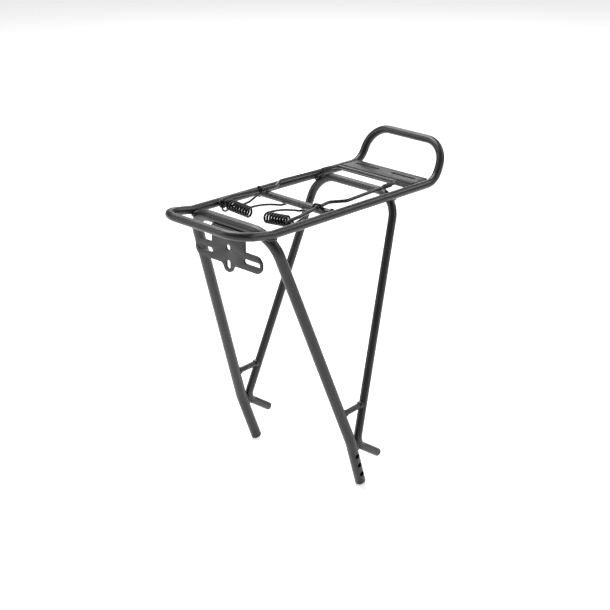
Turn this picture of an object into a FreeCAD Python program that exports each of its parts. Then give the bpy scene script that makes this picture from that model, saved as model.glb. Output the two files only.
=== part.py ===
import FreeCAD, Part
import math
import os
import Sketcher
from FreeCAD import Placement, Rotation, Vector

# Rear carrier for a bicycle: bent-tube deck, two leg hoops, plates and a sprung wire clamp.
# Row frame in mm: X to the bicycle's left, Y towards its rear, Z up.
# The origin is midway between the lowest bolt holes of the two legs.

doc = FreeCAD.newDocument("bicycle_rear_carrier")
sheet = doc.addObject("Spreadsheet::Sheet", "Dimensions")

DIMENSIONS = [
    ("deck_height", 320.0, "lowest leg hole to the deck tube's centre line"),
    ("small_tube", 10.0, "outside diameter of deck loop and rear leg hoop"),
    ("large_tube", 13.0, "outside diameter of front leg hoop"),
    ("small_wall", 1.2, "wall of the small tube"),
    ("large_wall", 1.5, "wall of the large tube"),
    ("rail_half_rear", 61.0, "half spacing of the rails at the rear"),
    ("rail_half_front", 63.9, "half spacing of the rails at the front"),
    ("rail_rise", 1.0, "rise of the rails above the deck level at the front"),
    ("rail_bend", 40.0, "bend radius where the rails turn up"),
    ("bow_front", 164.0, "origin to the front bar of the deck loop"),
    ("bow_bend", 116.5, "origin to where the rails turn up at the front"),
    ("bow_rise", 8.8, "rise of the front bar above the deck"),
    ("bow_radius", 25.3, "corner radius of the front bow"),
    ("stop_foot", 162.0, "origin to the foot of the upright backstop"),
    ("stop_length", 47.6, "length of the backstop along its slope"),
    ("stop_angle", 63.8, "backstop slope above the deck, degrees"),
    ("stop_half_top", 58.3, "half width of the backstop at its top"),
    ("stop_foot_radius", 23.7, "bend radius at the backstop's foot"),
    ("stop_radius", 29.4, "corner radius of the backstop"),
    ("front_bar_y", 115.3, "origin to the front leg hoop's crossbar"),
    ("front_bar_half", 63.6, "half width of the front hoop at deck level"),
    ("front_radius", 31.7, "corner radius of the front leg hoop"),
    ("kink_x", 93.1, "half spacing of the legs at the kink"),
    ("kink_drop", 273.0, "deck to the kink in the front legs"),
    ("kink_radius", 40.0, "bend radius of the kink"),
    ("leg_slope", 0.3603125, "rearward travel of the front leg per unit of drop"),
    ("foot_x", 89.7, "half spacing of the legs at their ends"),
    ("foot_drop", 332.6, "deck to the leg ends"),
    ("rear_bar_y", 89.5, "origin to the rear leg hoop's crossbar"),
    ("rear_bar_half", 63.0, "half width of the rear hoop at deck level"),
    ("rear_radius", 31.6, "corner radius of the rear leg hoop"),
    ("rear_slope", 0.3445, "forward travel of the rear leg per unit of drop"),
    ("rear_spread", 0.109, "sideways travel of the rear leg per unit of drop"),
    ("hook_drop", 278.65, "deck to the corner where the rear leg turns into the hook"),
    ("hook_radius", 14.0, "bend radius of the hook"),
    ("hook_reach", 35.8, "rearward reach of the hook from its corner"),
    ("hook_fall", 23.9, "fall of the hook from its corner"),
    ("mid_bar_y", 15.5, "origin to the mid cross tube"),
    ("mid_tube", 9.0, "outside diameter of the mid cross tube"),
    ("brace_tube", 7.0, "outside diameter of the leg brace"),
    ("brace_drop", 235.0, "deck to the leg braces"),
    ("hole_dia", 6.4, "clearance holes in the outer wall of each leg"),
    ("hole_pitch", 14.4, "spacing of the leg holes along the leg"),
    ("plug_depth", 6.0, "length of a plug's spigot inside its tube"),
    ("plug_rim", 1.0, "straight rim of a plug's head"),
    ("plug_dome", 1.2, "rounding of the closed tube ends"),
    ("plate_thickness", 2.5, "front mounting plate"),
    ("plate_y", 120.0, "origin to the middle of the front plate"),
    ("plate_top", 5.6, "deck to the top edge of the front plate"),
    ("neck_half", 27.0, "half width of the plate's neck"),
    ("wing_half", 54.4, "half width across the plate's wings"),
    ("wing_top", 27.0, "deck to the top edge of the wings"),
    ("wing_bottom", 47.6, "deck to the bottom edge of the wings"),
    ("wing_radius", 9.8, "rounding of the wing ends"),
    ("lug_half", 8.3, "half width of the plate's lower lug"),
    ("lug_bottom", 56.8, "deck to the bottom of the lug"),
    ("lug_fillet", 5.0, "hollow fillet beside the lug"),
    ("lug_rounding", 8.0, "rounding of the lug's lower corners"),
    ("wing_slot_x", 38.3, "plate centre to the middle of a wing slot"),
    ("wing_slot_drop", 37.2, "deck to the wing slots"),
    ("wing_slot_length", 25.0, "wing slot end to end"),
    ("wing_slot_width", 5.6, "wing slot width"),
    ("top_hole_drop", 27.5, "deck to the plate's round hole"),
    ("top_hole_dia", 6.6, "plate's round hole"),
    ("low_slot_drop", 47.6, "deck to the middle of the plate's upright slot"),
    ("low_slot_length", 10.4, "upright slot end to end"),
    ("low_slot_width", 6.4, "upright slot width"),
    ("rear_plate_front", 125.0, "origin to the rear plate's front edge"),
    ("rear_plate_depth", 28.0, "rear plate front to back"),
    ("rear_plate_half", 56.3, "half width of the rear plate"),
    ("rear_plate_level", 3.0, "deck centre line to the plate's underside"),
    ("rear_plate_thickness", 2.0, "rear plate"),
    ("flange_depth", 6.0, "down-turned front and back flanges of the rear plate"),
    ("flange_half", 55.4, "half width of the flanges"),
    ("rear_slot_y", 141.0, "origin to the rear plate's slots"),
    ("rear_slot_x", 29.0, "middle of a rear slot from the centre"),
    ("rear_slot_length", 38.0, "rear slot end to end"),
    ("rear_slot_width", 5.2, "rear slot width"),
    ("hinge_y", 77.5, "origin to the clamp's hinge axis"),
    ("hinge_rise", 2.0, "hinge axis above the deck's centre line"),
    ("pin_dia", 4.0, "hinge pin"),
    ("pin_inner", 38.0, "centre to the inner end of a hinge pin"),
    ("clamp_wire", 4.2, "wire of the clamp frame"),
    ("pin_play", 0.05, "radial clearance between a hinge pin and its eye"),
    ("eye_x", 54.0, "centre to the clamp's hinge eyes"),
    ("arm_front_y", 62.0, "origin forward to where an arm levels out"),
    ("arm_front_level", 7.2, "deck to the arm where it levels out"),
    ("arm_waist_x", 45.5, "half spacing of the arms before the mid cross tube"),
    ("arm_waist_y", 21.0, "origin forward to that point"),
    ("arm_waist_level", 7.6, "deck to the arm at that point"),
    ("arm_step_x", 43.0, "half spacing of the arms where they step outward"),
    ("arm_step_y", 3.0, "origin forward to the start of the step"),
    ("arm_step_level", 8.0, "deck to the arm at the start of the step"),
    ("arm_wide_x", 54.5, "half spacing of the arms after the step"),
    ("arm_wide_y", 14.5, "origin rearward to the end of the step"),
    ("clamp_level", 8.2, "deck to the rear part of the clamp"),
    ("clamp_bar_half", 47.5, "half width of the clamp's rear bar"),
    ("clamp_bar_y", 108.0, "origin to the clamp's rear bar"),
    ("spring_wire", 2.4, "torsion spring wire"),
    ("coil_outside", 13.2, "outside diameter of the torsion springs"),
    ("coil_pitch", 4.4, "torsion spring pitch"),
    ("coil_turns", 7.5, "torsion spring turns"),
    ("coil_outer_end", 46.9, "centre to the outer end of a coil"),
    ("sleeve_dia", 6.0, "rubber sleeve on the clamp arm"),
    ("sleeve_length", 13.0, "length of the rubber sleeve"),
    ("weld_ball", 6.0, "radius of the weld where two tubes cross"),
    ("weld_collar", 1.3, "weld standing out round a butted tube"),
    ("seam_weld", 1.5, "radius of the seam welds on the plates"),
]
for row, (alias, value, meaning) in enumerate(DIMENSIONS, start=1):
    sheet.set("A%d" % row, alias)
    sheet.set("B%d" % row, str(value))
    sheet.setAlias("B%d" % row, alias)
    sheet.set("C%d" % row, meaning)
doc.recompute()


def dim(alias):
    return float(sheet.get(alias))


def ref(alias):
    return "Dimensions." + alias


DECK = dim("deck_height")
UPRIGHT = Vector(0, 0, 1)


# ---------------------------------------------------------------- helpers

def mirrored_x(point):
    return Vector(-point.x, point.y, point.z)


def bent_wire(corners, radii):
    """Straight runs joined by arcs of the given radii at the inner corners."""
    edges = []
    start = corners[0]
    for before, corner, after, radius in zip(corners, corners[1:], corners[2:], radii):
        back = (before - corner).normalize()
        ahead = (after - corner).normalize()
        half = back.getAngle(ahead) / 2
        setback = radius / math.tan(half)
        arc_start = corner + back * setback
        arc_end = corner + ahead * setback
        middle_line = (back + ahead).normalize()
        arc_middle = corner + middle_line * (radius / math.sin(half) - radius)
        edges.append(Part.LineSegment(start, arc_start).toShape())
        edges.append(Part.Arc(arc_start, arc_middle, arc_end).toShape())
        start = arc_end
    edges.append(Part.LineSegment(start, corners[-1]).toShape())
    return Part.Wire(edges)


def path_object(name, wire):
    feature = doc.addObject("Part::Feature", name)
    feature.Shape = wire
    return feature


def section_circle(name, wire, diameter_expression):
    """A circle square to the first edge of the path, sized from the sheet."""
    first = wire.OrderedEdges[0]
    start = wire.OrderedVertexes[0].Point
    near_start = first.valueAt(first.FirstParameter)
    if near_start.distanceToPoint(start) < 1e-6:
        direction = first.tangentAt(first.FirstParameter)
    else:
        direction = first.tangentAt(first.LastParameter) * -1
    circle = doc.addObject("Part::Circle", name)
    circle.Placement = Placement(start, Rotation(UPRIGHT, direction))
    circle.setExpression("Radius", diameter_expression)
    return circle


def rod_along(name, wire, diameter_expression):
    path = path_object(name + "_path", wire)
    circle = section_circle(name + "_section", wire, diameter_expression)
    sweep = doc.addObject("Part::Sweep", name)
    sweep.Sections = [circle]
    sweep.Spine = (path, ["Edge%d" % (i + 1) for i in range(len(wire.Edges))])
    sweep.Solid = True
    sweep.Frenet = False
    doc.recompute()
    return sweep


def cut(name, base, tool):
    feature = doc.addObject("Part::Cut", name)
    feature.Base = base
    feature.Tool = tool
    doc.recompute()
    return feature


def fuse(name, shapes):
    feature = doc.addObject("Part::MultiFuse", name)
    feature.Shapes = shapes
    feature.Refine = True
    doc.recompute()
    return feature


def mirror_to_right(name, source):
    feature = doc.addObject("Part::Mirroring", name)
    feature.Source = source
    feature.Base = Vector(0, 0, 0)
    feature.Normal = Vector(1, 0, 0)
    doc.recompute()
    return feature


def round_bar(name, centre, axis, length, diameter_expression):
    """A cylinder whose middle is at centre, along axis."""
    bar = doc.addObject("Part::Cylinder", name)
    bar.setExpression("Radius", diameter_expression)
    bar.Height = length
    turn = Rotation(UPRIGHT, axis)
    bar.Placement = Placement(centre - turn.multVec(UPRIGHT) * (length / 2), turn)
    return bar


PARTS = {}


def keep(node, feature):
    feature.Label = node
    PARTS[node] = feature


# ---------------------------------------------------------------- deck loop

rail_rear = Vector(dim("rail_half_rear"), dim("stop_foot"), DECK)
rail_front = Vector(dim("rail_half_front"), -dim("bow_bend"), DECK + dim("rail_rise"))
bow_corner = Vector(dim("rail_half_front"), -dim("bow_front"), DECK + dim("bow_rise"))
slope = math.radians(dim("stop_angle"))
stop_corner = Vector(
    dim("stop_half_top"),
    dim("stop_foot") + dim("stop_length") * math.cos(slope),
    DECK + dim("stop_length") * math.sin(slope),
)
stop_middle = Vector(0, stop_corner.y, stop_corner.z)
left_run = [rail_rear, rail_front, bow_corner]
right_run = [mirrored_x(p) for p in reversed(left_run)]
loop_corners = [stop_middle, stop_corner] + left_run + right_run
loop_corners += [mirrored_x(stop_corner), stop_middle]
loop_radii = [
    dim("stop_radius"), dim("stop_foot_radius"), dim("rail_bend"), dim("bow_radius"),
    dim("bow_radius"), dim("rail_bend"), dim("stop_foot_radius"), dim("stop_radius"),
]
loop_wire = bent_wire(loop_corners, loop_radii)
loop_solid = rod_along("deck_loop_outer", loop_wire, ref("small_tube") + " / 2")
loop_bore = rod_along(
    "deck_loop_bore", loop_wire, ref("small_tube") + " / 2 - " + ref("small_wall"))
deck_loop = cut("deck_loop", loop_solid, loop_bore)
keep("deck_loop_tube", deck_loop)


def rail_point(y):
    """Centre of the left rail at a given Y."""
    share = (y - rail_rear.y) / (rail_front.y - rail_rear.y)
    return rail_rear + (rail_front - rail_rear) * share


# ---------------------------------------------------------------- front leg hoop

front_corner = Vector(dim("front_bar_half"), -dim("front_bar_y"), DECK)
kink = Vector(
    dim("kink_x"),
    -dim("front_bar_y") + dim("leg_slope") * dim("kink_drop"),
    DECK - dim("kink_drop"),
)
foot = Vector(
    dim("foot_x"),
    -dim("front_bar_y") + dim("leg_slope") * dim("foot_drop"),
    DECK - dim("foot_drop"),
)
lower_leg = (foot - kink).normalize()
front_wire = bent_wire(
    [foot, kink, front_corner, mirrored_x(front_corner), mirrored_x(kink), mirrored_x(foot)],
    [dim("kink_radius"), dim("front_radius"), dim("front_radius"), dim("kink_radius")],
)
front_solid = rod_along("front_hoop_outer", front_wire, ref("large_tube") + " / 2")
front_bore = rod_along(
    "front_hoop_bore", front_wire, ref("large_tube") + " / 2 - " + ref("large_wall"))
front_hollow = cut("front_hoop_hollow", front_solid, front_bore)

hole_points = []
lowest_hole = foot.z / lower_leg.z
for step in range(3):
    hole_points.append(foot - lower_leg * (lowest_hole + step * dim("hole_pitch")))
drills = []
for side in (1, -1):
    for number, point in enumerate(hole_points):
        start = Vector(side * point.x, point.y, point.z)
        hand = "l" if side > 0 else "r"
        drill = doc.addObject("Part::Cylinder", "leg_drill_%s%d" % (hand, number))
        drill.setExpression("Radius", ref("hole_dia") + " / 2")
        drill.Height = 20.0
        drill.Placement = Placement(start, Rotation(UPRIGHT, Vector(side, 0, 0)))
        drills.append(drill)
leg_drills = fuse("leg_drills", drills)
front_hoop = cut("front_hoop", front_hollow, leg_drills)
keep("front_leg_hoop", front_hoop)

# ---------------------------------------------------------------- rear leg hoop with hooks

rear_corner = Vector(dim("rear_bar_half"), dim("rear_bar_y"), DECK)
hook_corner = Vector(
    dim("rear_bar_half") + dim("rear_spread") * dim("hook_drop"),
    dim("rear_bar_y") - dim("rear_slope") * dim("hook_drop"),
    DECK - dim("hook_drop"),
)
hook_end = hook_corner + Vector(0, dim("hook_reach"), -dim("hook_fall"))
hook_direction = (hook_end - hook_corner).normalize()
rear_wire = bent_wire(
    [
        hook_end, hook_corner, rear_corner,
        mirrored_x(rear_corner), mirrored_x(hook_corner), mirrored_x(hook_end),
    ],
    [dim("hook_radius"), dim("rear_radius"), dim("rear_radius"), dim("hook_radius")],
)
rear_solid = rod_along("rear_hoop_outer", rear_wire, ref("small_tube") + " / 2")
rear_bore = rod_along(
    "rear_hoop_bore", rear_wire, ref("small_tube") + " / 2 - " + ref("small_wall"))
rear_hoop = cut("rear_hoop", rear_solid, rear_bore)
keep("rear_leg_hoop", rear_hoop)

# ---------------------------------------------------------------- mid cross tube

mid_y = -dim("mid_bar_y")
mid_centre = Vector(0, mid_y, rail_point(mid_y).z)
mid_blank = round_bar(
    "mid_bar_blank", mid_centre, Vector(1, 0, 0), 2 * rail_point(mid_y).x, ref("mid_tube") + " / 2")
mid_core = round_bar(
    "mid_bar_core", mid_centre, Vector(1, 0, 0), 200.0,
    ref("mid_tube") + " / 2 - " + ref("small_wall"))
mid_pipe = cut("mid_bar_pipe", mid_blank, mid_core)
mid_bar = cut("mid_bar", mid_pipe, loop_solid)
keep("mid_cross_tube", mid_bar)

# ---------------------------------------------------------------- leg braces

brace_z = DECK - dim("brace_drop")


def leg_at(top, bottom, z):
    share = (z - top.z) / (bottom.z - top.z)
    return top + (bottom - top) * share


brace_front = leg_at(front_corner, kink, brace_z - 1.2)
brace_rear = leg_at(rear_corner, hook_corner, brace_z + 1.6)
brace_line = brace_rear - brace_front
brace_blank = round_bar(
    "brace_blank", (brace_front + brace_rear) * 0.5, brace_line, brace_line.Length,
    ref("brace_tube") + " / 2")
brace_coped = cut("brace_coped", brace_blank, front_solid)
brace = cut("brace", brace_coped, rear_solid)
keep("left_leg_brace", brace)
keep("right_leg_brace", mirror_to_right("right_brace", brace))

# ---------------------------------------------------------------- closed tube ends


def amount(terms):
    """Number for a sum of (factor, alias) terms; alias None is a plain number."""
    return sum(factor * (dim(alias) if alias else 1.0) for factor, alias in terms)


def wording(terms):
    """The same sum as an expression on the sheet."""
    words = []
    for factor, alias in terms:
        words.append("%r * %s" % (factor, ref(alias)) if alias else "%r" % factor)
    return " + ".join(words)


def bind(sketch, kind, geometry, vertex, terms):
    """Distance along one sketch axis from the origin to a point, from the sheet."""
    index = sketch.addConstraint(
        Sketcher.Constraint(kind, -1, 1, geometry, vertex, amount(terms)))
    sketch.setExpression("Constraints[%d]" % index, wording(terms))


def draw_outline(sketch, corners):
    """A closed outline through corners, each a pair of term lists."""
    count = len(corners)
    spots = [Vector(amount(across), amount(up), 0) for across, up in corners]
    for i in range(count):
        sketch.addGeometry(Part.LineSegment(spots[i], spots[(i + 1) % count]), False)
    for i in range(count):
        sketch.addConstraint(Sketcher.Constraint("Coincident", i, 2, (i + 1) % count, 1))
    for i, (across, up) in enumerate(corners):
        bind(sketch, "DistanceX", i, 1, across)
        bind(sketch, "DistanceY", i, 1, up)


def plane_sketch(body, name, role):
    planes = {f.Role: f for f in body.Origin.OriginFeatures}
    sketch = body.newObject("Sketcher::SketchObject", name)
    sketch.AttachmentSupport = [(planes[role], "")]
    sketch.MapMode = "FlatFace"
    return sketch


def end_plug(name, tube_alias, wall_alias, centre, outward):
    """A revolved plug: spigot inside the tube, rounded head over its end."""
    body = doc.addObject("PartDesign::Body", name)
    body.Placement = Placement(centre, Rotation(UPRIGHT, outward))
    sketch = plane_sketch(body, name + "_profile", "XZ_Plane")
    axis = [(0.0, None)]
    spigot = [(0.5, tube_alias), (-1.0, wall_alias)]
    head = [(0.5, tube_alias)]
    crown = [(0.5, tube_alias), (-1.0, "plug_dome")]
    tail, rim, shoulder = [(-1.0, "plug_depth")], [(0.0, None)], [(1.0, "plug_rim")]
    top = [(1.0, "plug_rim"), (1.0, "plug_dome")]
    draw_outline(sketch, [
        (axis, tail), (spigot, tail), (spigot, rim), (head, rim),
        (head, shoulder), (crown, top), (axis, top),
    ])
    revolve = body.newObject("PartDesign::Revolution", name + "_turn")
    revolve.Profile = sketch
    revolve.ReferenceAxis = (sketch, ["V_Axis"])
    revolve.Angle = 360.0
    doc.recompute()
    return body


leg_plug = end_plug("leg_plug", "large_tube", "large_wall", foot, lower_leg)
keep("left_leg_end_plug", leg_plug)
keep("right_leg_end_plug", mirror_to_right("right_leg_plug", leg_plug))
hook_plug = end_plug("hook_plug", "small_tube", "small_wall", hook_end, hook_direction)
keep("left_hook_end_plug", hook_plug)
keep("right_hook_end_plug", mirror_to_right("right_hook_plug", hook_plug))

# ---------------------------------------------------------------- front mounting plate


def slot_outline(sketch, across, up, length_alias, width_alias, upright=False):
    """A round-ended slot about (across, up), each a list of terms."""
    reach = [(0.5, length_alias), (-0.5, width_alias)]
    pull = [(-0.5, length_alias), (0.5, width_alias)]
    radius = dim(width_alias) / 2
    if upright:
        ends = [(across, up + pull), (across, up + reach)]
        turns = [(math.pi, 2 * math.pi), (0.0, math.pi)]
        sides = [Vector(radius, 0, 0), Vector(-radius, 0, 0)]
    else:
        ends = [(across + pull, up), (across + reach, up)]
        turns = [(math.pi / 2, 3 * math.pi / 2), (-math.pi / 2, math.pi / 2)]
        sides = [Vector(0, -radius, 0), Vector(0, radius, 0)]
    centres = [Vector(amount(end[0]), amount(end[1]), 0) for end in ends]
    first = sketch.GeometryCount
    for centre, (begin, finish) in zip(centres, turns):
        circle = Part.Circle(centre, UPRIGHT, radius)
        sketch.addGeometry(Part.ArcOfCircle(circle, begin, finish), False)
    sketch.addGeometry(Part.LineSegment(centres[0] + sides[0], centres[1] + sides[0]), False)
    sketch.addGeometry(Part.LineSegment(centres[1] + sides[1], centres[0] + sides[1]), False)
    joins = [(first, 2, first + 2, 1), (first + 2, 2, first + 1, 1),
             (first + 1, 2, first + 3, 1), (first + 3, 2, first, 1)]
    for join in joins:
        sketch.addConstraint(Sketcher.Constraint("Tangent", *join))
    for number, (end_across, end_up) in enumerate(ends):
        bind(sketch, "DistanceX", first + number, 3, end_across)
        bind(sketch, "DistanceY", first + number, 3, end_up)
    index = sketch.addConstraint(Sketcher.Constraint("Radius", first, radius))
    sketch.setExpression("Constraints[%d]" % index, ref(width_alias) + " / 2")


def rounded(body, name, feature, spots, radius_expression, direction):
    """Fillets the straight edges along direction that pass through the given spots."""
    doc.recompute()
    chosen = []
    for number, edge in enumerate(feature.Shape.Edges, start=1):
        if edge.Curve.TypeId != "Part::GeomLine":
            continue
        if abs(edge.tangentAt(edge.FirstParameter).dot(direction)) < 0.999:
            continue
        middle = edge.CenterOfMass
        for spot in spots:
            offset = middle - spot
            flat = offset - direction * offset.dot(direction)
            if flat.Length < 0.2:
                chosen.append("Edge%d" % number)
                break
    fillet = body.newObject("PartDesign::Fillet", name)
    fillet.Base = (feature, chosen)
    fillet.setExpression("Radius", radius_expression)
    doc.recompute()
    return fillet


plate_body = doc.addObject("PartDesign::Body", "front_plate")
plate_body.Placement = Placement(Vector(0, -dim("plate_y"), DECK), Rotation())
plate_sketch = plane_sketch(plate_body, "front_plate_outline", "XZ_Plane")
PLATE_STEPS = [
    ("neck_half", "plate_top"), ("neck_half", "wing_top"), ("wing_half", "wing_top"),
    ("wing_half", "wing_bottom"), ("lug_half", "wing_bottom"), ("lug_half", "lug_bottom"),
]
left_side = [([(1.0, half)], [(-1.0, drop)]) for half, drop in PLATE_STEPS]
right_side = [([(-1.0, half)], [(-1.0, drop)]) for half, drop in reversed(PLATE_STEPS)]
draw_outline(plate_sketch, left_side + right_side)
plate_pad = plate_body.newObject("PartDesign::Pad", "front_plate_pad")
plate_pad.Profile = plate_sketch
plate_pad.Midplane = True
plate_pad.setExpression("Length", ref("plate_thickness"))
doc.recompute()
ACROSS_PLATE = Vector(0, 1, 0)


def plate_spots(half_alias, drop_alias):
    return [Vector(side * dim(half_alias), 0, -dim(drop_alias)) for side in (-1, 1)]


wing_spots = plate_spots("wing_half", "wing_top") + plate_spots("wing_half", "wing_bottom")
plate_wings = rounded(
    plate_body, "wing_rounding", plate_pad, wing_spots, ref("wing_radius"), ACROSS_PLATE)
plate_lug = rounded(
    plate_body, "lug_rounding", plate_wings, plate_spots("lug_half", "lug_bottom"),
    ref("lug_rounding"), ACROSS_PLATE)
plate_hollow = rounded(
    plate_body, "lug_hollow", plate_lug, plate_spots("lug_half", "wing_bottom"),
    ref("lug_fillet"), ACROSS_PLATE)
doc.recompute()
plate_holes = plane_sketch(plate_body, "front_plate_holes", "XZ_Plane")
for side in (1.0, -1.0):
    slot_outline(
        plate_holes, [(side, "wing_slot_x")], [(-1.0, "wing_slot_drop")],
        "wing_slot_length", "wing_slot_width")
slot_outline(
    plate_holes, [(0.0, None)], [(-1.0, "low_slot_drop")],
    "low_slot_length", "low_slot_width", upright=True)
hole_spot = Vector(0, -dim("top_hole_drop"), 0)
hole_circle = Part.Circle(hole_spot, UPRIGHT, dim("top_hole_dia") / 2)
round_hole = plate_holes.addGeometry(hole_circle, False)
index = plate_holes.addConstraint(
    Sketcher.Constraint("Diameter", round_hole, dim("top_hole_dia")))
plate_holes.setExpression("Constraints[%d]" % index, ref("top_hole_dia"))
bind(plate_holes, "DistanceX", round_hole, 3, [(0.0, None)])
bind(plate_holes, "DistanceY", round_hole, 3, [(-1.0, "top_hole_drop")])
plate_pocket = plate_body.newObject("PartDesign::Pocket", "front_plate_cut")
plate_pocket.Profile = plate_holes
plate_pocket.Type = "ThroughAll"
plate_pocket.Midplane = True
doc.recompute()
keep("front_mounting_plate", plate_body)

# ---------------------------------------------------------------- rear plate

rear_plate = doc.addObject("PartDesign::Body", "rear_plate_body")
rear_plate.Placement = Placement(Vector(0, 0, DECK), Rotation())
rear_outline = plane_sketch(rear_plate, "rear_plate_outline", "XY_Plane")


def strip(sketch, half_alias, front, depth_alias):
    """A rectangle from a front edge, given as terms, back by a depth."""
    back = front + [(1.0, depth_alias)]
    left, right = [(1.0, half_alias)], [(-1.0, half_alias)]
    draw_outline(sketch, [(right, front), (left, front), (left, back), (right, back)])


plate_front = [(1.0, "rear_plate_front")]
plate_back = plate_front + [(1.0, "rear_plate_depth")]
strip(rear_outline, "rear_plate_half", plate_front, "rear_plate_depth")
rear_outline.setExpression("AttachmentOffset.Base.z", ref("rear_plate_level"))
rear_pad = rear_plate.newObject("PartDesign::Pad", "rear_plate_pad")
rear_pad.Profile = rear_outline
rear_pad.setExpression("Length", ref("rear_plate_thickness"))
doc.recompute()
for name, flange_front in (
        ("front_flange", plate_front),
        ("back_flange", plate_back + [(-1.0, "rear_plate_thickness")])):
    flange_outline = plane_sketch(rear_plate, name + "_outline", "XY_Plane")
    strip(flange_outline, "flange_half", flange_front, "rear_plate_thickness")
    flange_outline.setExpression("AttachmentOffset.Base.z", ref("rear_plate_level"))
    flange_pad = rear_plate.newObject("PartDesign::Pad", name)
    flange_pad.Profile = flange_outline
    flange_pad.Reversed = True
    flange_pad.setExpression("Length", ref("flange_depth"))
    doc.recompute()
rear_slots = plane_sketch(rear_plate, "rear_plate_slots", "XY_Plane")
rear_slots.setExpression("AttachmentOffset.Base.z", ref("rear_plate_level"))
for side in (1.0, -1.0):
    slot_outline(
        rear_slots, [(side, "rear_slot_x")], [(1.0, "rear_slot_y")],
        "rear_slot_length", "rear_slot_width")
rear_pocket = rear_plate.newObject("PartDesign::Pocket", "rear_plate_cut")
rear_pocket.Profile = rear_slots
rear_pocket.Reversed = True
rear_pocket.Length = 10.0
doc.recompute()
keep("rear_plate", rear_plate)

# ---------------------------------------------------------------- clamp hinge pins

hinge = Vector(0, -dim("hinge_y"), DECK + dim("hinge_rise"))
rail_at_hinge = rail_point(hinge.y)
pin_length = rail_at_hinge.x - dim("pin_inner")
pin_centre = Vector((rail_at_hinge.x + dim("pin_inner")) / 2, hinge.y, hinge.z)
pin_blank = round_bar(
    "pin_blank", pin_centre, Vector(1, 0, 0), pin_length, ref("pin_dia") + " / 2")
pin = cut("pin", pin_blank, loop_solid)
keep("left_hinge_pin", pin)
keep("right_hinge_pin", mirror_to_right("right_pin", pin))

# ---------------------------------------------------------------- clamp frame

eye_ring = (dim("pin_dia") + dim("clamp_wire")) / 2
arm_path = [
    Vector(dim("eye_x"), hinge.y, hinge.z + eye_ring),
    Vector(dim("eye_x"), -dim("arm_front_y"), DECK + dim("arm_front_level")),
    Vector(dim("arm_waist_x"), -dim("arm_waist_y"), DECK + dim("arm_waist_level")),
    Vector(dim("arm_step_x"), -dim("arm_step_y"), DECK + dim("arm_step_level")),
    Vector(dim("arm_wide_x"), dim("arm_wide_y"), DECK + dim("clamp_level")),
    Vector(dim("clamp_bar_half"), dim("clamp_bar_y"), DECK + dim("clamp_level")),
]
clamp_corners = arm_path + [mirrored_x(p) for p in reversed(arm_path)]
clamp_radii = [12.0, 14.0, 8.0, 10.0, 5.0, 5.0, 10.0, 8.0, 14.0, 12.0]
clamp_wire = bent_wire(clamp_corners, clamp_radii)
clamp_rod = rod_along("clamp_rod", clamp_wire, ref("clamp_wire") + " / 2")
eyes = []
for side in (1, -1):
    eye = doc.addObject("Part::Torus", "eye_%s" % ("left" if side > 0 else "right"))
    eye.Radius1 = eye_ring
    eye.setExpression("Radius2", ref("clamp_wire") + " / 2")
    eye.Placement = Placement(
        Vector(side * dim("eye_x"), hinge.y, hinge.z), Rotation(UPRIGHT, Vector(1, 0, 0)))
    eyes.append(eye)
clamp_blank = fuse("clamp_blank", [clamp_rod] + eyes)
eye_drill = round_bar(
    "eye_drill", hinge, Vector(1, 0, 0), 140.0, ref("pin_dia") + " / 2 + " + ref("pin_play"))
clamp = cut("clamp", clamp_blank, eye_drill)
keep("clamp_frame", clamp)

# ---------------------------------------------------------------- rubber sleeves on the arms

arm_start, arm_end = arm_path[4], arm_path[5]
sleeve_share = (dim("rear_bar_y") - arm_start.y) / (arm_end.y - arm_start.y)
sleeve_centre = arm_start + (arm_end - arm_start) * sleeve_share
sleeve_axis = arm_end - arm_start
sleeve_blank = round_bar(
    "sleeve_blank", sleeve_centre, sleeve_axis, dim("sleeve_length"), ref("sleeve_dia") + " / 2")
sleeve = cut("sleeve", sleeve_blank, clamp_rod)
keep("left_arm_sleeve", sleeve)
keep("right_arm_sleeve", mirror_to_right("right_sleeve", sleeve))

# ---------------------------------------------------------------- torsion springs

coil_radius = (dim("coil_outside") - dim("spring_wire")) / 2
coil_length = dim("coil_pitch") * dim("coil_turns")
coil_inner_end = dim("coil_outer_end") - coil_length

# The helix runs about the hinge axis from the top of its inner end outward.
helix = Part.makeHelix(dim("coil_pitch"), coil_length, coil_radius)
lying = Rotation(UPRIGHT, Vector(1, 0, 0))
helix_start = lying.multVec(Vector(coil_radius, 0, 0))
to_top = 90.0 - math.degrees(math.atan2(helix_start.z, helix_start.y))
turned = Rotation(Vector(1, 0, 0), to_top).multiply(lying)
helix.Placement = Placement(Vector(coil_inner_end, hinge.y, hinge.z), turned)
coil_wire = Part.Wire(helix.Edges)
coil_start = coil_wire.OrderedVertexes[0].Point
coil_finish = coil_wire.OrderedVertexes[-1].Point
first_edge, last_edge = coil_wire.OrderedEdges[0], coil_wire.OrderedEdges[-1]
leaving = first_edge.tangentAt(first_edge.FirstParameter) * -1
arriving = last_edge.tangentAt(last_edge.LastParameter)
coil = rod_along("coil", coil_wire, ref("spring_wire") + " / 2")

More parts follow.
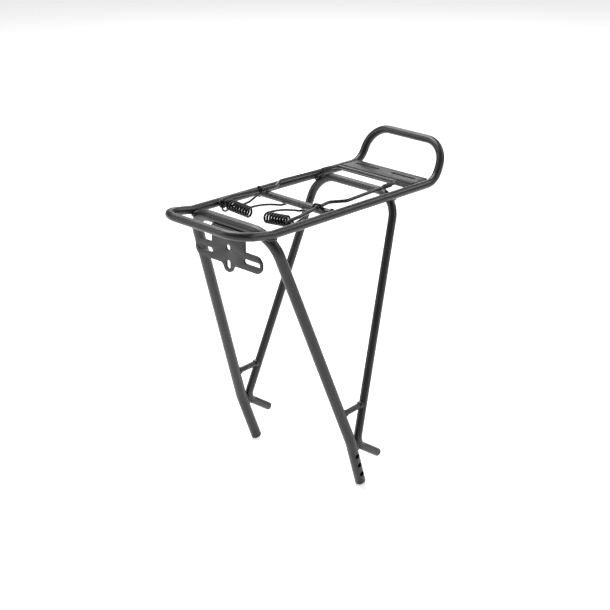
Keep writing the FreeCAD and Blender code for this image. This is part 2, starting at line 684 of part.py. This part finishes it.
inner_leg_wire = bent_wire(
    [
        coil_start, coil_start + leaving * 10.0,
        Vector(14.6, mid_y - 9.0, DECK - 5.2), Vector(14.7, mid_y + 6.5, DECK - 6.1),
    ],
    [14.0, 10.0],
)
inner_leg = rod_along("inner_leg", inner_leg_wire, ref("spring_wire") + " / 2")
outer_leg_wire = bent_wire(
    [
        coil_finish, coil_finish + arriving * 10.0,
        Vector(43.2, -46.0, DECK - 1.0), Vector(42.3, -30.0, DECK + 6.0),
        Vector(42.5, -26.0, DECK + 11.3), Vector(50.4, -25.0, DECK + 11.3),
        Vector(50.6, -24.5, DECK + 6.0),
    ],
    [8.0, 8.0, 3.0, 1.9, 1.9],
)
outer_leg = rod_along("outer_leg", outer_leg_wire, ref("spring_wire") + " / 2")
spring = fuse("spring", [coil, inner_leg, outer_leg])
keep("left_torsion_spring", spring)
keep("right_torsion_spring", mirror_to_right("right_spring", spring))

# ---------------------------------------------------------------- weld beads


def bead(name, centre, radius, tools):
    """A ball of weld metal about a joint, less the parts it joins."""
    ball = doc.addObject("Part::Sphere", name + "_ball")
    ball.Radius = radius
    ball.Placement = Placement(centre, Rotation())
    shape = ball
    for number, tool in enumerate(tools):
        shape = cut("%s_%d" % (name, number), shape, tool)
    return shape


def on_left(points_wire):
    """The left-hand edges of a wire."""
    edges = [e for e in points_wire.Edges if e.CenterOfMass.x > 1.0]
    return Part.Compound(edges)


rail_line = Part.LineSegment(rail_point(130.0), rail_point(-110.0)).toShape()
front_line = on_left(front_wire)
rear_line = on_left(rear_wire)
small_r, large_r = dim("small_tube") / 2, dim("large_tube") / 2


def contact(first_line, second_line, first_r, second_r):
    """The touching point of two round tubes, from their centre lines."""
    distance, pairs, _ = first_line.distToShape(second_line)
    a, b = pairs[0]
    return a + (b - a) * (first_r / (first_r + second_r))


ball = dim("weld_ball")
collar = dim("weld_collar")
brace_run = (brace_rear - brace_front).normalize()
JOINTS = [
    ("front_rail_weld", contact(rail_line, front_line, small_r, large_r),
     ball, [loop_solid, front_solid]),
    ("rear_rail_weld", contact(rail_line, rear_line, small_r, small_r),
     ball, [loop_solid, rear_solid]),
    ("leg_joint_weld", contact(front_line, rear_line, large_r, small_r),
     ball, [front_solid, rear_solid]),
    ("brace_front_weld", brace_front + brace_run * large_r,
     dim("brace_tube") / 2 + collar, [front_solid, brace_blank]),
    ("brace_rear_weld", brace_rear - brace_run * small_r,
     dim("brace_tube") / 2 + collar, [rear_solid, brace_blank]),
]
for name, centre, radius, tools in JOINTS:
    weld = bead(name, centre, radius, tools)
    keep("left_" + name, weld)
    keep("right_" + name, mirror_to_right("right_" + name, weld))


def collar_weld(name, rail_y, level, tube_alias, bar):
    """A ring of weld where a round bar butts against the rail's inner side."""
    centre = Vector(rail_point(rail_y).x - small_r, rail_y, level)
    ring = round_bar(
        name + "_ring", centre, Vector(1, 0, 0), 3.0,
        ref(tube_alias) + " / 2 + " + ref("weld_collar"))
    ring = cut(name + "_0", ring, loop_solid)
    ring = cut(name + "_1", ring, bar)
    keep("left_" + name, ring)
    keep("right_" + name, mirror_to_right("right_" + name, ring))


collar_weld("hinge_pin_weld", hinge.y, hinge.z, "pin_dia", pin_blank)
collar_weld("mid_tube_weld", mid_y, mid_centre.z, "mid_tube", mid_blank)

# Seam welds: the front plate under the hoop's crossbar, the rear plate beside each rail.
plate_seam = round_bar(
    "plate_seam", Vector(0, -dim("plate_y") - 1.6, DECK - dim("plate_top")),
    Vector(1, 0, 0), 48.0, ref("seam_weld"))
front_seam = cut("front_seam_0", plate_seam, front_solid)
front_seam = cut("front_seam_1", front_seam, plate_body)
keep("front_plate_weld", front_seam)
beside_plate = Vector(
    dim("rear_plate_half") + 0.4, dim("rear_slot_y") - 3.0,
    DECK + dim("rear_plate_level") + dim("rear_plate_thickness") - dim("seam_weld") - 0.2)
side_seam = round_bar("side_seam", beside_plate, Vector(0, 1, 0), 20.0, ref("seam_weld"))
rear_seam = cut("rear_seam_0", side_seam, loop_solid)
rear_seam = cut("rear_seam_1", rear_seam, rear_plate)
keep("left_rear_plate_weld", rear_seam)
keep("right_rear_plate_weld", mirror_to_right("right_rear_seam", rear_seam))

doc.recompute()
faults = [o.Name for o in doc.Objects if "Invalid" in o.State or "Error" in o.State]
if faults:
    raise RuntimeError("objects with faults: %s" % faults)
os.makedirs("parts", exist_ok=True)
for node, feature in PARTS.items():
    shape = feature.Shape
    if shape.isNull() or not shape.isValid() or len(shape.Solids) != 1:
        raise RuntimeError("%s is not one valid solid: %d" % (node, len(shape.Solids)))
    shape.exportStep("parts/%s.step" % node)
print("wrote", len(PARTS), "parts")
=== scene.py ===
"""Looks of the bicycle rear carrier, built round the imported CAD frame. Metres throughout.

Row frame: X to the bicycle's left, Y towards its rear, Z up.
"""

import math

import bmesh
import bpy
from mathutils import Matrix, Vector


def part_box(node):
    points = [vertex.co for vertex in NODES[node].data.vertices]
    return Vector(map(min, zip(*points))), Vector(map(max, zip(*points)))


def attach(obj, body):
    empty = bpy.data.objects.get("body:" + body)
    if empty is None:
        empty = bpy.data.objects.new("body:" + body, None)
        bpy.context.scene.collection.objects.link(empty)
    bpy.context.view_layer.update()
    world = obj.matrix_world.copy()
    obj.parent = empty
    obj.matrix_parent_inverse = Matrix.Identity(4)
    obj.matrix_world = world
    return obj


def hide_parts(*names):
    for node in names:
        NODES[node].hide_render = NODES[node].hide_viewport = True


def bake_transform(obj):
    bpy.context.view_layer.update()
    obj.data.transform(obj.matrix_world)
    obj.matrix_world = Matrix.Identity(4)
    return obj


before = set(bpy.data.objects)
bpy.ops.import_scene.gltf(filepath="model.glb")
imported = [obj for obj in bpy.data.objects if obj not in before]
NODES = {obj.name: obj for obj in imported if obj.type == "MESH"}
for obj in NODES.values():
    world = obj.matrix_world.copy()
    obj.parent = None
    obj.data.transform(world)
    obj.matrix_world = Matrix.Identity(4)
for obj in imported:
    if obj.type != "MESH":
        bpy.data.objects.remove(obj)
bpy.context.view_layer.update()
MM = 0.001

# ---------------------------------------------------------------- node material helpers


class Shader:
    """A material's node tree, with short calls for the nodes used here."""

    def __init__(self, name):
        self.material = bpy.data.materials.new(name)
        self.material.use_nodes = True
        self.tree = self.material.node_tree
        self.surface = self.tree.nodes["Principled BSDF"]
        self.place = self.add("ShaderNodeTexCoord").outputs["Object"]

    def add(self, kind, **values):
        node = self.tree.nodes.new(kind)
        for key, value in values.items():
            setattr(node, key, value)
        return node

    def join(self, source, target):
        self.tree.links.new(source, target)

    def noise(self, scale, detail=2.0, roughness=0.5):
        node = self.add("ShaderNodeTexNoise")
        node.inputs["Scale"].default_value = scale
        node.inputs["Detail"].default_value = detail
        node.inputs["Roughness"].default_value = roughness
        self.join(self.place, node.inputs["Vector"])
        return node.outputs["Fac"]

    def span(self, value, low, high, to_low, to_high):
        """The value's stretch from low to high, laid over to_low to to_high."""
        node = self.add("ShaderNodeMapRange")
        node.inputs["From Min"].default_value = low
        node.inputs["From Max"].default_value = high
        node.inputs["To Min"].default_value = to_low
        node.inputs["To Max"].default_value = to_high
        self.join(value, node.inputs["Value"])
        return node.outputs["Result"]

    def mix(self, share, first, second):
        node = self.add("ShaderNodeMix", data_type="RGBA")
        self.join(share, node.inputs["Factor"])
        for socket, colour in ((node.inputs[6], first), (node.inputs[7], second)):
            if isinstance(colour, tuple):
                socket.default_value = (*colour, 1.0)
            else:
                self.join(colour, socket)
        return node.outputs[2]

    def arithmetic(self, operation, first, second):
        node = self.add("ShaderNodeMath", operation=operation)
        for socket, value in ((node.inputs[0], first), (node.inputs[1], second)):
            if isinstance(value, (int, float)):
                socket.default_value = value
            else:
                self.join(value, socket)
        return node.outputs[0]

    def bump(self, height, distance, strength=1.0, below=None):
        node = self.add("ShaderNodeBump")
        node.inputs["Distance"].default_value = distance
        node.inputs["Strength"].default_value = strength
        self.join(height, node.inputs["Height"])
        if below is not None:
            self.join(below, node.inputs["Normal"])
        return node.outputs["Normal"]


def powder_coat(name, dark, light, rough_low, rough_high, grain, peel):
    """Baked powder coat: orange peel, fine grain, faint cloudiness and bright worn edges."""
    shader = Shader(name)
    clouds = shader.noise(38, 4, 0.6)
    specks = shader.noise(2600, 2, 0.6)
    rubbed = shader.noise(160, 6, 0.65)
    edge = shader.add("ShaderNodeNewGeometry").outputs["Pointiness"]
    tone = shader.mix(shader.span(clouds, 0.35, 0.68, 0, 1), dark, light)
    fleck = shader.arithmetic("MULTIPLY", shader.span(specks, 0.62, 0.74, 0, 1), 0.25)
    tone = shader.mix(fleck, tone, tuple(min(1.0, 2.4 * c) for c in light))
    worn = shader.arithmetic(
        "MULTIPLY", shader.span(edge, 0.56, 0.64, 0, 1), shader.span(rubbed, 0.5, 0.66, 0, 0.55))
    tone = shader.mix(worn, tone, (0.075, 0.076, 0.08))
    shader.join(tone, shader.surface.inputs["Base Color"])
    rough = shader.span(shader.noise(90, 5, 0.7), 0.3, 0.7, rough_low, rough_high)
    shader.join(rough, shader.surface.inputs["Roughness"])
    coarse = shader.bump(shader.noise(620, 2, 0.45), peel)
    fine = shader.bump(specks, grain, 0.8, coarse)
    shader.join(fine, shader.surface.inputs["Normal"])
    shader.surface.inputs["Specular IOR Level"].default_value = 0.5
    shader.surface.inputs["IOR"].default_value = 1.5
    return shader.material


def glossy_wire(name):
    """Spring wire dipped in gloss black, with faint drips."""
    shader = Shader(name)
    tone = shader.mix(
        shader.span(shader.noise(140, 5, 0.6), 0.35, 0.7, 0, 1),
        (0.0015, 0.0015, 0.0016), (0.004, 0.004, 0.0043))
    shader.join(tone, shader.surface.inputs["Base Color"])
    rough = shader.span(shader.noise(300, 4, 0.6), 0.3, 0.7, 0.12, 0.22)
    shader.join(rough, shader.surface.inputs["Roughness"])
    drips = shader.bump(shader.noise(260, 2, 0.4), 0.05 * MM)
    shader.join(drips, shader.surface.inputs["Normal"])
    shader.surface.inputs["Specular IOR Level"].default_value = 0.25
    return shader.material


def soft_rubber(name):
    """Moulded rubber: matt, slightly dusty, with a fine grain."""
    shader = Shader(name)
    tone = shader.mix(
        shader.span(shader.noise(220, 5, 0.7), 0.4, 0.7, 0, 1),
        (0.012, 0.012, 0.012), (0.04, 0.04, 0.041))
    shader.join(tone, shader.surface.inputs["Base Color"])
    rough = shader.span(shader.noise(500, 3, 0.6), 0.3, 0.7, 0.62, 0.85)
    shader.join(rough, shader.surface.inputs["Roughness"])
    grain = shader.bump(shader.noise(3200, 3, 0.6), 0.03 * MM)
    shader.join(grain, shader.surface.inputs["Normal"])
    return shader.material


frame_coat = powder_coat(
    "frame_powder_coat", (0.007, 0.007, 0.0078), (0.014, 0.014, 0.0152),
    0.3, 0.42, 0.014 * MM, 0.04 * MM)
plate_coat = powder_coat(
    "plate_powder_coat", (0.010, 0.010, 0.011), (0.019, 0.019, 0.0205),
    0.38, 0.5, 0.018 * MM, 0.04 * MM)
wire_coat = powder_coat(
    "clamp_wire_coat", (0.006, 0.006, 0.0066), (0.012, 0.012, 0.013),
    0.24, 0.34, 0.010 * MM, 0.03 * MM)
# Over rough weld metal the coat lies a little glossier and more uneven.
weld_coat = powder_coat(
    "weld_powder_coat", (0.007, 0.007, 0.0078), (0.014, 0.014, 0.0152),
    0.26, 0.38, 0.016 * MM, 0.06 * MM)
spring_gloss = glossy_wire("spring_gloss_black")
sleeve_rubber = soft_rubber("sleeve_rubber")

# ---------------------------------------------------------------- mesh helpers


def new_piece(name, mesh, material, body):
    piece = bpy.data.objects.new(name, mesh)
    bpy.context.scene.collection.objects.link(piece)
    mesh.materials.clear()
    mesh.materials.append(material)
    for polygon in mesh.polygons:
        polygon.use_smooth = True
    if body:
        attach(piece, body)
    return piece


def ring_frames(points):
    """A direction and a steady sideways vector at each point of a line."""
    count = len(points)
    directions = []
    for i in range(count):
        before = points[max(i - 1, 0)]
        after = points[min(i + 1, count - 1)]
        directions.append((after - before).normalized())
    side = directions[0].orthogonal().normalized()
    frames = []
    for direction in directions:
        side = (side - direction * side.dot(direction)).normalized()
        frames.append((direction, side, direction.cross(side)))
    return frames


def swept(name, points, radius_at, sides):
    """A round rod through points; radius_at(share, angle) gives its radius."""
    mesh = bpy.data.meshes.new(name)
    bm = bmesh.new()
    frames = ring_frames(points)
    rings = []
    last = len(points) - 1
    for i, (point, (_, side, up)) in enumerate(zip(points, frames)):
        ring = []
        for k in range(sides):
            angle = 2 * math.pi * k / sides
            reach = radius_at(i / last, angle)
            outward = side * math.cos(angle) + up * math.sin(angle)
            ring.append(bm.verts.new(point + outward * reach))
        rings.append(ring)
    for lower, upper in zip(rings, rings[1:]):
        for k in range(sides):
            bm.faces.new((lower[k], lower[(k + 1) % sides], upper[(k + 1) % sides], upper[k]))
    bm.faces.new(list(reversed(rings[0])))
    bm.faces.new(rings[-1])
    bmesh.ops.recalc_face_normals(bm, faces=bm.faces)
    bm.to_mesh(mesh)
    bm.free()
    return mesh


def bevelled_copy(node, width, name, material):
    """The CAD node's own shape with its edges rounded, as the coat rounds them."""
    mesh = NODES[node].data.copy()
    mesh.name = name
    bm = bmesh.new()
    bm.from_mesh(mesh)
    bmesh.ops.remove_doubles(bm, verts=bm.verts, dist=1e-6)
    bmesh.ops.dissolve_limit(
        bm, angle_limit=math.radians(2), verts=bm.verts, edges=bm.edges, delimit={"NORMAL"})
    bm.to_mesh(mesh)
    bm.free()
    piece = new_piece(name, mesh, material, "carrier")
    bevel = piece.modifiers.new("rounded_edges", "BEVEL")
    bevel.width = width
    bevel.segments = 3
    bevel.limit_method = "ANGLE"
    bevel.angle_limit = math.radians(40)
    bevel.harden_normals = False
    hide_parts(node)


# ---------------------------------------------------------------- CAD nodes that show as they are

COATS = {
    "deck_loop_tube": frame_coat, "front_leg_hoop": frame_coat, "rear_leg_hoop": frame_coat,
    "mid_cross_tube": frame_coat, "clamp_frame": wire_coat,
    "left_arm_sleeve": sleeve_rubber, "right_arm_sleeve": sleeve_rubber,
}
for node, item in NODES.items():
    item.data.materials.clear()
    if "spring" in node:
        coat = spring_gloss
    elif "weld" in node:
        coat = weld_coat
    else:
        coat = COATS.get(node, frame_coat)
    item.data.materials.append(coat)

# ---------------------------------------------------------------- plates with rounded edges

bevelled_copy("front_mounting_plate", 0.35 * MM, "front_plate_skin", plate_coat)
bevelled_copy("rear_plate", 0.3 * MM, "rear_plate_skin", plate_coat)

# ---------------------------------------------------------------- routes for wires and beads


def rounded_route(corners, radii, steps=8):
    """Points along a line whose inner corners are rounded to the given radii."""
    route = [corners[0]]
    for before, corner, after, radius in zip(corners, corners[1:], corners[2:], radii):
        back, ahead = (before - corner).normalized(), (after - corner).normalized()
        half = back.angle(ahead) / 2
        reach = min(radius / math.tan(half),
                    0.49 * (before - corner).length, 0.49 * (after - corner).length)
        first, last = corner + back * reach, corner + ahead * reach
        for i in range(steps + 1):
            share = i / steps
            route.append(
                first * (1 - share) ** 2 + corner * 2 * share * (1 - share) + last * share ** 2)
    route.append(corners[-1])
    return route


def evenly(route, spacing):
    """The same line with points an even distance apart."""
    spread = [route[0]]
    left = spacing
    for start, end in zip(route, route[1:]):
        run = (end - start).length
        done = 0.0
        while run - done >= left:
            done += left
            spread.append(start + (end - start) * (done / run))
            left = spacing
        left -= run - done
    spread.append(route[-1])
    return spread


def spring_wire(name, route, diameter, body, spacing):
    """A round gloss black wire with domed ends; with no body it is left unattached."""
    points = evenly(route, spacing)
    radius = diameter / 2
    dome = max(2, int(radius / spacing))
    last = len(points) - 1

    def reach(share, angle):
        near_end = min(share, 1 - share) * last
        if near_end >= dome:
            return radius
        inward = 1 - (near_end + 0.12) / (dome + 0.12)
        return radius * math.sqrt(max(0.04, 1 - inward * inward))

    mesh = swept(name, points, reach, sides=20)
    return new_piece(name, mesh, spring_gloss, body)


BEAD_STEP = 0.25 * MM
BEAD_SCALE_LENGTH = 1.5 * MM
STEPS_PER_SCALE = BEAD_SCALE_LENGTH / BEAD_STEP


def rippled_bead(name, route, radius):
    """A weld bead: a line of overlapping scales, each a little off the last."""
    points = evenly(route, BEAD_STEP)
    last = len(points) - 1

    def reach(share, angle):
        place = share * last / STEPS_PER_SCALE
        swell = 0.11 * math.sin(math.pi * (place % 1.0))
        lean = 0.05 * math.sin(int(place) * 2.3 + angle)
        near_end = min(share, 1 - share) * last * BEAD_STEP
        return radius * (1.0 + swell + lean) * math.sqrt(min(1.0, 0.06 + near_end / radius))

    mesh = swept(name, points, reach, sides=14)
    return new_piece(name, mesh, weld_coat, "carrier")


def flipped(points, side):
    return [Vector((point.x * side, point.y, point.z)) for point in points]


def at(*millimetres):
    return Vector(millimetres) * MM


# ---------------------------------------------------------------- torsion springs

HINGE = at(0, -77.5, 322)
COIL_RADIUS = 5.6 * MM
COIL_PITCH = 4.4 * MM
COIL_TURNS = 7.5
COIL_STEPS = 40
SPRING_WIRE = 2.7 * MM
LEG_STEPS = 24
LEG_DIP_Y = -20.0 * MM
LEG_DIP_Z = 314.4 * MM


def torsion_spring(name, side, inner_x, inner_lift, outer_lift, leg_x):
    """One coil with both legs; the lifts are those of the coil's two ends off the hinge's level."""
    coil = []
    for i in range(int(COIL_TURNS * COIL_STEPS) + 1):
        turn = i / COIL_STEPS
        angle = 2 * math.pi * turn
        share = turn / COIL_TURNS
        coil.append(Vector((
            inner_x + COIL_PITCH * turn,
            HINGE.y - COIL_RADIUS * math.sin(angle),
            HINGE.z + COIL_RADIUS * math.cos(angle)
            + inner_lift * (1 - share) + outer_lift * share)))
    start, finish = coil[0], coil[-1]
    # The inner leg bows down to pass under the cross tube.
    inner_leg = [at(leg_x, -9, 313.9), at(leg_x, -15, 314.0)]
    for i in range(LEG_STEPS, 0, -1):
        share = i / LEG_STEPS
        inner_leg.append(Vector((
            start.x + (leg_x * MM - start.x) * share,
            start.y + (LEG_DIP_Y - start.y) * share,
            start.z + (LEG_DIP_Z - start.z) * share ** 1.6)))
    # The outer leg ends in a hook over the clamp's arm.
    outer_leg = rounded_route(
        [finish, finish + at(0, 9, 0), at(43.2, -46, 319), at(42.3, -30, 326),
         at(42.5, -26, 331.3), at(50.4, -25, 331.3), at(50.6, -24.5, 326)],
        [8 * MM, 8 * MM, 3 * MM, 1.9 * MM, 1.9 * MM])
    return spring_wire(
        name, flipped(inner_leg + coil + outer_leg[1:], side), SPRING_WIRE,
        body=None, spacing=0.7 * MM)


for side, label, inner_x, inner_lift, outer_lift, leg_x in (
        (1, "left", 18.4 * MM, -0.4 * MM, 2.8 * MM, 12.4),
        (-1, "right", 9.6 * MM, -1.0 * MM, 0.8 * MM, 18.6)):
    piece = torsion_spring(
        label + "_spring_wound", side, inner_x, inner_lift, outer_lift, leg_x)
    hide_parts(label + "_torsion_spring")
    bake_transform(piece)

# The photo shows one loose ring beside the right spring's outer end, hanging on the pin.
RING_CENTRE = at(-48.6, -78.7, 319.9)
RING_RADIUS = 5.6 * MM
RING_WIRE = 2.3 * MM
RING_POINTS = 73
RING_LEAD = 0.012 * MM
hanging = []
for i in range(RING_POINTS):
    angle = 2 * math.pi * (i - 6) / (RING_POINTS + 3)
    hanging.append(RING_CENTRE + Vector((
        (i - RING_POINTS // 2) * RING_LEAD,
        RING_RADIUS * math.sin(angle), RING_RADIUS * math.cos(angle))))
spring_wire("right_pin_ring", hanging, RING_WIRE, "carrier", spacing=0.6 * MM)

# ---------------------------------------------------------------- weld beads between crossing tubes


def crossing_bead(name, node, first, second, along, length, width, bead):
    """A closed bead round the place where two tubes touch, longer along one of them."""
    around = 96
    contact = (first + second) / 2
    across = (second - first).normalized()
    long_way = (along - across * along.dot(across)).normalized()
    short_way = across.cross(long_way)
    route = []
    for i in range(around + 1):
        angle = 2 * math.pi * i / around
        route.append(
            contact + long_way * math.cos(angle) * length + short_way * math.sin(angle) * width)
    piece = rippled_bead(name, route, bead)
    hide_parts(node)


for side, label in ((1, "left"), (-1, "right")):
    for place, first, second, along, length, width, bead in (
            ("front_rail", at(63.85, -112.3, 321), at(56.5, -112.4, 312), at(0.2, 1, 0),
             6.0 * MM, 3.0 * MM, 2.3 * MM),
            ("rear_rail", at(61.8, 87.2, 320.3), at(55.4, 86.9, 312.6), at(0, 1, 0),
             5.5 * MM, 2.8 * MM, 2.1 * MM),
            ("leg_joint", at(92.6, -13.8, 38.5), at(93.1, -3, 42.4), at(0, -0.34, 0.94),
             7.0 * MM, 2.6 * MM, 2.2 * MM)):
        first, second, along = flipped([first, second, along], side)
        crossing_bead(
            "%s_%s_bead" % (label, place), "%s_%s_weld" % (label, place),
            first, second, along, length, width, bead)

# ---------------------------------------------------------------- floor, lights and camera

FLOOR_GAP = 0.5 * MM
floor_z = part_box("left_leg_end_plug")[0].z - FLOOR_GAP
bm = bmesh.new()
bmesh.ops.create_grid(bm, x_segments=2, y_segments=2, size=6.0)
floor_mesh = bpy.data.meshes.new("floor")
bm.to_mesh(floor_mesh)
bm.free()
floor = bpy.data.objects.new("floor", floor_mesh)
floor.location = (0, 0, floor_z)
bpy.context.scene.collection.objects.link(floor)
floor_shader = Shader("pale_floor")
floor_shader.surface.inputs["Base Color"].default_value = (0.9, 0.9, 0.9, 1)
floor_shader.surface.inputs["Roughness"].default_value = 0.9
floor_shader.surface.inputs["Specular IOR Level"].default_value = 0.1
floor_shader.surface.inputs["Emission Color"].default_value = (1, 1, 1, 1)
floor_shader.surface.inputs["Emission Strength"].default_value = 0.5
floor_mesh.materials.append(floor_shader.material)

world = bpy.data.worlds.new("studio")
bpy.context.scene.world = world
world.use_nodes = True
world.node_tree.nodes["Background"].inputs["Color"].default_value = (1.0, 1.0, 1.0, 1)
world.node_tree.nodes["Background"].inputs["Strength"].default_value = 0.24


def area_light(name, place, target, size, power):
    light = bpy.data.lights.new(name, "AREA")
    light.shape = "RECTANGLE"
    light.size, light.size_y = size
    light.energy = power
    item = bpy.data.objects.new(name, light)
    bpy.context.scene.collection.objects.link(item)
    item.location = place
    item.rotation_euler = (Vector(target) - Vector(place)).to_track_quat("-Z", "Y").to_euler()
    return item


AIM = (0, 0, 0.2)
area_light("top_softbox", (-0.7, 0.1, 1.85), AIM, (1.4, 1.2), 41)
area_light("front_softbox", (-1.2, -1.6, 1.1), AIM, (0.5, 1.3), 10)
area_light("side_softbox", (2.1, 0.7, 0.9), AIM, (0.4, 1.4), 6)
area_light("rear_left_softbox", (1.0, 1.9, 1.7), AIM, (1.4, 1.0), 16)
area_light("back_softbox", (-1.6, 1.8, 1.25), AIM, (1.2, 0.7), 9)

CAMERA_PLACE = Vector((1.25937, -1.28498, 0.89664))
CAMERA_AHEAD = Vector((-0.651, 0.6651, -0.3658)).normalized()
CAMERA_RIGHT = Vector((0.7146, 0.6995, 0.0)).normalized()
CAMERA_UP = CAMERA_RIGHT.cross(CAMERA_AHEAD).normalized()
camera_data = bpy.data.cameras.new("camera")
camera_data.sensor_width = 36.0
camera_data.lens = 96.03
camera = bpy.data.objects.new("camera", camera_data)
bpy.context.scene.collection.objects.link(camera)
turn = Matrix((CAMERA_RIGHT, CAMERA_UP, -CAMERA_AHEAD)).transposed()
camera.matrix_world = Matrix.Translation(CAMERA_PLACE) @ turn.to_4x4()
bpy.context.scene.camera = camera
bpy.context.scene.view_settings.view_transform = "Standard"
